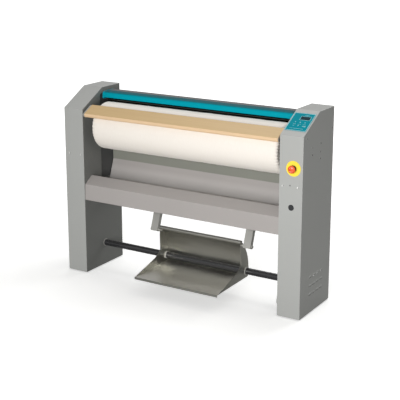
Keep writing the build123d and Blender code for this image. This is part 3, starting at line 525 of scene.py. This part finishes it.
def painted_light_on_tread(tree):
    """On the pedal's tread, whose upward face is made lighter: painted light."""
    low = height_from(tree, 0.13, 0.11)
    return math(tree, "MULTIPLY", low, spread(tree, facing(tree)["Z"], 0.8, 0.95))


def painted_shade_at_shoe_lip(tree):
    """At the shoe's upper lip, darkened as painted shade in the gap between the front cover and
    the roller.
    """
    return height_from(tree, 0.965, 0.985)


def painted_shade_facing_sideways(tree):
    """On the heads of the screws in the columns' outer sides, darkened as painted shade."""
    return spread(tree, math(tree, "ABSOLUTE", facing(tree)["X"]), 0.4, 0.7)


# ---- The machine's finishes ---------------------------------------------------------------
TEAL = "009AAB"
TEAL_EDGE = "5CBFC8"
GREY_PAINT = sprayed_paint("column_paint", "ADAEAB")
# The inner panels take the column grey made darker: painted shade.
INNER_PAINTED_SHADE = sprayed_paint("inner_painted_shade", "6E6F6C")
# The teal cover's upward faces take a darker teal: painted shade.
TEAL_PAINT = sprayed_paint("teal_paint", TEAL, 0.5, TEAL_EDGE,
                           shade=[("005F68", painted_shade_facing_up)], shine=0.05)
ARM_PAINT = sprayed_paint("arm_paint", TEAL, 0.5, TEAL_EDGE,
                          shade=[("4E4F4E", under_the_lip)], shine=0.05)
COVER_PAINT = sprayed_paint("cover_paint", "4C4E50")
TRAY_PAINT = sprayed_paint("tray_paint", "ABA6A3")
# The tray's rear plate: a lighter base than the tray paint and lighter still low down, both
# painted light; a greyer upper flange, painted shadow of the roller.
REAR_PAINTED_LIGHT_AND_SHADOW = sprayed_paint("rear_tray_painted_light_and_shadow", "B0ABA8",
                           shade=[("CAC6C3", painted_light_near_tray_floor), ("8D8E85", painted_roller_shadow_above_bend)])
FRAME_PAINT = sprayed_paint("frame_paint", "474848", roughness=0.5)
BAR_ENAMEL = sprayed_paint("bar_enamel", "2A2A2C", roughness=0.14, edge_code="5A5A5A", shine=0.9)
# The pedal tread's upward face takes a lighter steel: painted light.
STAINLESS = drawn_metal("stainless_sheet", "B4B3AC", shade=[("EAE8E1", painted_light_on_tread)])
# The shoe's upper lip turns near-black: painted shade in the gap under the front cover.
SHOE_METAL = drawn_metal("shoe_metal", "B8B8B2", roughness=0.22, shade=[("70716B", painted_shade_at_shoe_lip)])
ZINC = plated_steel("zinc_plate", "B0AFAA", roughness=0.45, metal=0.5)
# The screws: a near-white base stands in for highlights on the front heads, painted highlight;
# the side heads turn near-black, painted shade.
SCREW_PAINTED_LIGHT_AND_SHADE = plated_steel("screw_painted_light_and_shade", "F2F2EE", roughness=0.3, metal=0.4,
                          shade=[("2A2B2B", painted_shade_facing_sideways)])
GROUND_STEEL = plated_steel("ground_steel", "8F9092", roughness=0.25)
CAST = casting("casting", "6B6F73")
MOTOR_ENAMEL = casting("motor_enamel", "3E4A55")
BLACK_PLASTIC = moulded("black_plastic", "26282A")
RUBBER = moulded("belt_rubber", "1E1F21", roughness=0.7)
NYLON = moulded("nylon", "B4B3AD", roughness=0.4)
FASCIA_FILM = printed_film("fascia_film", "008E9E", 0.6, shine=0.05, dust=0.0)
ARROW_PRINT = printed_film("arrow_print", "F1E9E0", 0.4)
KEY_FILM = printed_film("key_film", "0F98AA", 0.55, shine=0.05, dust=0.0)
PRINT = printed_film("pale_print", "A9DADD", 0.5)
STOP_YELLOW = moulded("stop_yellow", "FFE648", roughness=0.45, shine=0.3)
STOP_RED = moulded("stop_red", "EC5F2E", roughness=0.45, shine=0.3)
CIRCUIT = moulded("circuit_board", "1F5A3A", roughness=0.5)
FOOT = levelling_foot()
CLOTH = woven_cloth()
WADDING = felted("felt_wadding", "DDD5C6", 0.002)
BLANKET = felted("insulation_blanket", "CFC9BA", 0.004)
WOOD = varnished_wood()
GLASS = display_glass()

FINISHES = {
    "column_paint": GREY_PAINT, "teal_paint": TEAL_PAINT, "cover_paint": COVER_PAINT,
    "tray_paint": TRAY_PAINT, "frame_paint": FRAME_PAINT, "black_steel": BAR_ENAMEL,
    "stainless": STAINLESS, "zinc_steel": ZINC, "ground_steel": GROUND_STEEL,
    "shoe_metal": SHOE_METAL, "cast_housing": CAST, "motor_paint": MOTOR_ENAMEL,
    "roller_cloth": CLOTH, "wadding": WADDING, "blanket": BLANKET, "board_wood": WOOD,
    "fascia_film": FASCIA_FILM, "display_glass": GLASS, "key_plastic": KEY_FILM,
    "stop_yellow": STOP_YELLOW, "stop_red": STOP_RED, "black_plastic": BLACK_PLASTIC,
    "circuit_board": CIRCUIT, "foot_rubber": FOOT, "belt_rubber": RUBBER, "nylon": NYLON,
}
NODE_FINISHES = {
    "chest_end_arms": ARM_PAINT, "casing_screws": SCREW_PAINTED_LIGHT_AND_SHADE,
    "left_inner_panel": INNER_PAINTED_SHADE, "right_inner_panel": INNER_PAINTED_SHADE,
    "rear_tray_plate": REAR_PAINTED_LIGHT_AND_SHADOW,
}
SLOT_OF = {part["node"]: part["material_slot"] for part in frame["record"]["subparts"]}


def dress_frame():
    """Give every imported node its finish."""
    for name, item in NODES.items():
        item.data.materials.clear()
        item.data.materials.append(NODE_FINISHES.get(name, FINISHES[SLOT_OF[name]]))


# ---- Building pieces --------------------------------------------------------------------
def mesh_piece(name, points, faces, material, body, smooth=True):
    """A mesh that rides on a body."""
    data = bpy.data.meshes.new(name)
    data.from_pydata([tuple(p) for p in points], [], faces)
    data.validate()
    data.materials.append(material)
    piece = bpy.data.objects.new(name, data)
    bpy.context.collection.objects.link(piece)
    if smooth:
        data.shade_smooth()
    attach(piece, body)
    return piece


def strips(rings, closed=False):
    """Quads between rings of equally many points; closed joins the last ring to the first."""
    count = len(rings[0])
    faces = []
    for r in range(len(rings) if closed else len(rings) - 1):
        near = r * count
        far = ((r + 1) % len(rings)) * count
        for k in range(count):
            after = (k + 1) % count
            faces.append((near + k, near + after, far + after, far + k))
    return [p for ring in rings for p in ring], faces


# ---- Roller -------------------------------------------------------------------------------
ROUND_STEPS = 336
CLOTH_THICKNESS = 0.0012
SHOULDER = 0.018
SHOULDER_STEPS = 12
HEM_RADIUS = 0.078
HEM_STEPS = 10
HEM_ROLL = 0.004
HEM_DISH = 0.003
PLEATS = 42
PLEAT_DEPTH = 0.0055
PUCKER = 0.0022
PUCKER_REACH = 0.04
LEFT_SEED = 0.7
RIGHT_SEED = 2.9
BARREL_SPANS = 90
LAP_PLACE = 1.9
LAP_HALF_WIDTH = 0.12
LAP_STEP = 0.0009


def roller_ring(at):
    """Points round the roller's axis; at gives x and the radius for an angle."""
    ring = []
    for k in range(ROUND_STEPS):
        angle = 2 * pi * k / ROUND_STEPS
        x, radius = at(angle)
        ring.append((x, ROLLER_Y + radius * cos(angle), ROLLER_Z + radius * sin(angle)))
    return ring


def gathers(angle, seed):
    """Uneven pleats, from -1 to 1, where the drawcord pulls the cloth in."""
    uneven = 0.35 * sin(5 * angle + seed) + 0.25 * sin(11 * angle + 2 * seed)
    return sin(PLEATS * angle + 1.6 * uneven) * (0.75 + 0.25 * sin(17 * angle + seed))


def end_of_cover(end, way, seed):
    """Rings from the last straight stretch over the shoulder to the gathered hem."""
    corner = ROLLER_RADIUS - CLOTH_THICKNESS - SHOULDER
    stations = []
    for step in range(1, SHOULDER_STEPS + 1):
        turn = radians(90) * step / SHOULDER_STEPS
        x = end - way * (SHOULDER - SHOULDER * sin(turn) + CLOTH_THICKNESS)
        depth = PLEAT_DEPTH * (step / SHOULDER_STEPS) ** 0.8
        stations.append((x, corner + SHOULDER * cos(turn), depth))
    for step in range(1, HEM_STEPS + 1):
        share = step / HEM_STEPS
        x = end - way * (CLOTH_THICKNESS + HEM_DISH * share)
        base = corner + (HEM_RADIUS + HEM_ROLL - corner) * share
        stations.append((x, base, PLEAT_DEPTH * (1 - 0.4 * share)))

    def gathered(x, base, depth):
        steep = min(1.0, (ROLLER_RADIUS - base) / SHOULDER)

        def at(angle):
            valley = depth * (0.5 - 0.5 * gathers(angle, seed))
            return x - way * valley * steep, base - valley * (1 - 0.7 * steep)

        return at

    return [roller_ring(gathered(*station)) for station in stations]


def barrel_ring(x, start, stop):
    """A ring of the cover's straight length, slightly slack and puckered near its ends."""
    slack = 0.0004 * sin(37 * x) + 0.0003 * sin(91 * x + 1.3)
    near_end = max(0.0, 1.0 - min(x - start, stop - x) / PUCKER_REACH) ** 1.5
    seed = RIGHT_SEED if x > 0 else LEFT_SEED

    def at(angle):
        lap = LAP_STEP if abs(angle - LAP_PLACE) < LAP_HALF_WIDTH else 0.0
        pucker = 0.5 * PUCKER * near_end * (gathers(angle, seed) - 1)
        loose = slack * sin(3 * angle + 9 * x)
        return x, ROLLER_RADIUS - CLOTH_THICKNESS + loose + lap + pucker

    return roller_ring(at)


def roller_cloth():
    """The woven cover pulled over the wadding, gathered at both ends by its drawcord."""
    left = end_of_cover(CLOTH_LOW.x, -1, LEFT_SEED)
    right = end_of_cover(CLOTH_HIGH.x, 1, RIGHT_SEED)
    start = CLOTH_LOW.x + SHOULDER + CLOTH_THICKNESS
    stop = CLOTH_HIGH.x - SHOULDER - CLOTH_THICKNESS
    places = [start + (stop - start) * step / BARREL_SPANS for step in range(1, BARREL_SPANS)]
    middle = [barrel_ring(x, start, stop) for x in places]
    points, faces = strips(left[::-1] + middle + right)
    cloth = mesh_piece("roller_cloth", points, faces, CLOTH, "roller")
    solid = cloth.modifiers.new("thickness", "SOLIDIFY")
    solid.thickness = CLOTH_THICKNESS
    solid.offset = -1.0
    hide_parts("roller_cover")
    return cloth


WADDING_PULLED_IN = 0.0105
WADDING_UNDER_CLOTH = 0.0045
WADDING_MOUTH = HEM_RADIUS + 0.014
WADDING_SHOULDER = [(0.0, 0.018), (0.004, 0.008), (0.012, 0.003), (0.030, 0.0)]
DRUM_CLEARANCE = 0.0003


def roller_wadding():
    """Felt wound on the drum, seen at the ends inside the gathered cover."""
    low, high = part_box("roller_padding")
    drum_low, drum_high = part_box("roller_drum")
    left, right = low.x + WADDING_PULLED_IN, high.x - WADDING_PULLED_IN
    outer = ROLLER_RADIUS - WADDING_UNDER_CLOTH
    mouth = WADDING_MOUTH
    core = (drum_high.z - drum_low.z) / 2 + DRUM_CLEARANCE
    left_face, right_face = drum_low.x - DRUM_CLEARANCE, drum_high.x + DRUM_CLEARANCE
    outline = [(left, mouth)]
    outline += [(left + along, outer - down) for along, down in WADDING_SHOULDER]
    outline += [(right - along, outer - down) for along, down in reversed(WADDING_SHOULDER)]
    outline += [(right, mouth), (right_face, mouth), (right_face, core)]
    outline += [(left_face, core), (left_face, mouth)]
    rings = [roller_ring(lambda angle, corner=corner: corner) for corner in outline]
    points, faces = strips(rings, closed=True)
    wadding = mesh_piece("roller_wadding", points, faces, WADDING, "roller", smooth=False)
    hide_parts("roller_padding")
    return wadding


# ---- Chest blanket ------------------------------------------------------------------------
CHEST_PIVOT = Vector((0.0, 0.185, 0.560))
CHEST_OPEN = radians(-2.5)
BLANKET_INNER = 0.1624
BLANKET_OUTER = 0.1794
BLANKET_HALF = 0.605
BLANKET_ANGLES = (-43.6, 57.6)
BLANKET_HEM = 0.012
BLANKET_ACROSS = 96
BLANKET_AROUND = 40
TUFTS_ACROSS = 8
TUFTS_AROUND = 4


def insulation_blanket():
    """The quilted mineral blanket over the heating elements, sewn down in channels."""
    low, high = (radians(angle) for angle in BLANKET_ANGLES)
    swing = Matrix.Rotation(CHEST_OPEN, 3, "X")
    shares = [j / BLANKET_AROUND for j in range(BLANKET_AROUND + 1)]

    def at(x, angle, radius):
        point = Vector((x, ROLLER_Y + radius * cos(angle), ROLLER_Z + radius * sin(angle)))
        return CHEST_PIVOT + swing @ (point - CHEST_PIVOT)

    rings = []
    for i in range(BLANKET_ACROSS + 1):
        x = -BLANKET_HALF + 2 * BLANKET_HALF * i / BLANKET_ACROSS
        end = min(1.0, (BLANKET_HALF - abs(x)) / BLANKET_HEM)
        outside = []
        for share in shares:
            edge = min(1.0, min(share, 1 - share) * 14)
            tuft = abs(sin(TUFTS_ACROSS * pi * (x + BLANKET_HALF) / (2 * BLANKET_HALF))) ** 0.5
            tuft *= abs(sin(TUFTS_AROUND * pi * share)) ** 0.5
            full = (0.45 + 0.55 * end ** 0.5) * (0.45 + 0.55 * edge ** 0.5)
            thick = (BLANKET_OUTER - BLANKET_INNER) * full * (0.72 + 0.28 * tuft)
            outside.append(at(x, low + (high - low) * share, BLANKET_INNER + thick))
        inside = [at(x, low + (high - low) * share, BLANKET_INNER) for share in reversed(shares)]
        rings.append(outside + inside)
    points, faces = strips(rings)
    count = len(rings[0])
    faces.append(tuple(range(count))[::-1])
    faces.append(tuple(range(len(points) - count, len(points))))
    blanket = mesh_piece("insulation_blanket", points, faces, BLANKET, "chest")
    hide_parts("chest_insulation")


# ---- Print on the control panel and the stop head -----------------------------------------
PANEL_EDGE_X = 0.620
PANEL_FOOT = (-0.115, 0.970)
PANEL_RISE = (0.186, 0.100)
FILM_FACE = 0.0015
KEY_FACE = 0.0031
PRINT_THICKNESS = 0.00012
FASCIA = (0.004, 0.122, 0.040, 0.181)
DISPLAY = (0.053, 0.105, 0.128, 0.154)
KEY_PLACES = {
    "key_start": (0.038, 0.106), "key_stop": (0.065, 0.106), "key_speed": (0.092, 0.106),
    "key_cooler": (0.038, 0.078), "key_hotter": (0.065, 0.078),
}


def on_panel(u, v, lift):
    """A point of the sloping panel: across from its inner edge, up the slope, and above it."""
    along = Vector((0.0, *PANEL_RISE)).normalized()
    out = Vector((0.0, -along.z, along.y))
    return Vector((PANEL_EDGE_X + u, *PANEL_FOOT)) + along * v + out * lift


def frame_outline(u0, u1, v0, v1, line):
    """Four bars that make a thin rectangular frame."""
    return [
        [(u0, v0), (u1, v0), (u1, v0 + line), (u0, v0 + line)],
        [(u0, v1 - line), (u1, v1 - line), (u1, v1), (u0, v1)],
        [(u0, v0 + line), (u0 + line, v0 + line), (u0 + line, v1 - line), (u0, v1 - line)],
        [(u1 - line, v0 + line), (u1, v0 + line), (u1, v1 - line), (u1 - line, v1 - line)],
    ]


def bar(u, v, wide, high):
    """A rectangle about a point."""
    return [(u - wide / 2, v - high / 2), (u + wide / 2, v - high / 2),
            (u + wide / 2, v + high / 2), (u - wide / 2, v + high / 2)]


def printed(name, shapes, lift, body, place_of=on_panel, material=None):
    """Thin raised print: each shape is a closed outline in the surface's own two directions."""
    points, faces = [], []
    for shape in shapes:
        base, count = len(points), len(shape)
        points += [place_of(u, v, lift) for u, v in shape]
        points += [place_of(u, v, lift + PRINT_THICKNESS) for u, v in shape]
        faces.append(tuple(range(base + count, base + 2 * count)))
        for k in range(count):
            after = (k + 1) % count
            faces.append((base + k, base + after, base + count + after, base + count + k))
    piece = mesh_piece(name, points, faces, material or PRINT, body, smooth=False)


def moved(shape, u, v):
    """A shape carried from the origin to a point."""
    return [(u + a, v + b) for a, b in shape]


def grown(rectangle, by):
    """A rectangle's four edges, each moved out."""
    u0, u1, v0, v1 = rectangle
    return u0 - by, u1 + by, v0 - by, v1 + by


def panel_print():
    """The pale border, the display's frame and the marks above and below the keys."""
    shapes = frame_outline(*grown(FASCIA, -0.001), 0.0026)
    shapes += frame_outline(*grown(DISPLAY, 0.0025), 0.0014)
    for u in (0.071, 0.079, 0.087):
        shapes.append(bar(u, 0.1645, 0.004, 0.0028))
    for u in (0.038, 0.065, 0.092):
        shapes.append(bar(u, 0.092, 0.015, 0.0013))
    for step in range(4):
        shapes.append(bar(0.088 + 0.005 * step, 0.078, 0.0028, 0.003 + 0.0022 * step))
    shapes.append(bar(0.063, 0.058, 0.074, 0.0012))
    printed("panel_print", shapes, FILM_FACE, "stand")


def key_print():
    """A plain sign on each key: run, stop, faster, cooler and hotter."""
    minus = bar(0.0, 0.0, 0.006, 0.0014)
    signs = {
        "key_start": [[(-0.0022, -0.003), (0.0032, 0.0), (-0.0022, 0.003)]],
        "key_stop": [bar(0.0, 0.0, 0.0052, 0.0052)],
        "key_speed": [[(-0.003, -0.003), (0.0, 0.0), (-0.003, 0.003)],
                      [(0.0004, -0.003), (0.0034, 0.0), (0.0004, 0.003)]],
        "key_cooler": [minus],
        "key_hotter": [minus, bar(0.0, 0.00185, 0.0014, 0.0023),
                       bar(0.0, -0.00185, 0.0014, 0.0023)],
    }
    for key, shapes in signs.items():
        spot = KEY_PLACES[key]
        printed(key + "_sign", [moved(shape, *spot) for shape in shapes], KEY_FACE, key + "_body")


HEAD_LOW, HEAD_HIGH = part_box("estop_head")
HEAD_X = (HEAD_LOW.x + HEAD_HIGH.x) / 2
HEAD_Z = (HEAD_LOW.z + HEAD_HIGH.z) / 2
CROWN_RADIUS = 0.035
ARROW_RADII = (0.0098, 0.0118)
ARROW_SWEEP = radians(80)
ARROW_TIP = 0.26
ARROW_BARB = 0.0014
ARROW_STEPS = 10


def on_stop_head(u, v, lift):
    """A point just over the mushroom's dome, across and up from its middle."""
    sink = CROWN_RADIUS - sqrt(CROWN_RADIUS ** 2 - u ** 2 - v ** 2)
    return Vector((HEAD_X + u, HEAD_LOW.y + sink - lift, HEAD_Z + v))


def curved_arrow(start):
    """A bent arrow round the head's middle, clockwise from its start."""
    inner, outer = ARROW_RADII
    turns = [ARROW_SWEEP * k / ARROW_STEPS for k in range(ARROW_STEPS + 1)]

    def at(radius, turn):
        return (radius * cos(start - turn), radius * sin(start - turn))

    out_edge = [at(outer, turn) for turn in turns]
    tip = [at(outer + ARROW_BARB, ARROW_SWEEP), at((inner + outer) / 2, ARROW_SWEEP + ARROW_TIP),
           at(inner - ARROW_BARB, ARROW_SWEEP)]
    in_edge = [at(inner, turn) for turn in reversed(turns)]
    return (out_edge + tip + in_edge)[::-1]


def stop_arrows():
    """Two arrows that show which way the head turns to let it out."""
    arrows = [curved_arrow(radians(140)), curved_arrow(radians(-40))]
    printed("stop_arrows", arrows, 0.0, "stop_cap", on_stop_head, ARROW_PRINT)


# ---- The whole scene ------------------------------------------------------------------------
add_camera()
add_studio()
dress_frame()
wadding = roller_wadding()
cloth = roller_cloth()
insulation_blanket()
panel_print()
key_print()
stop_arrows()
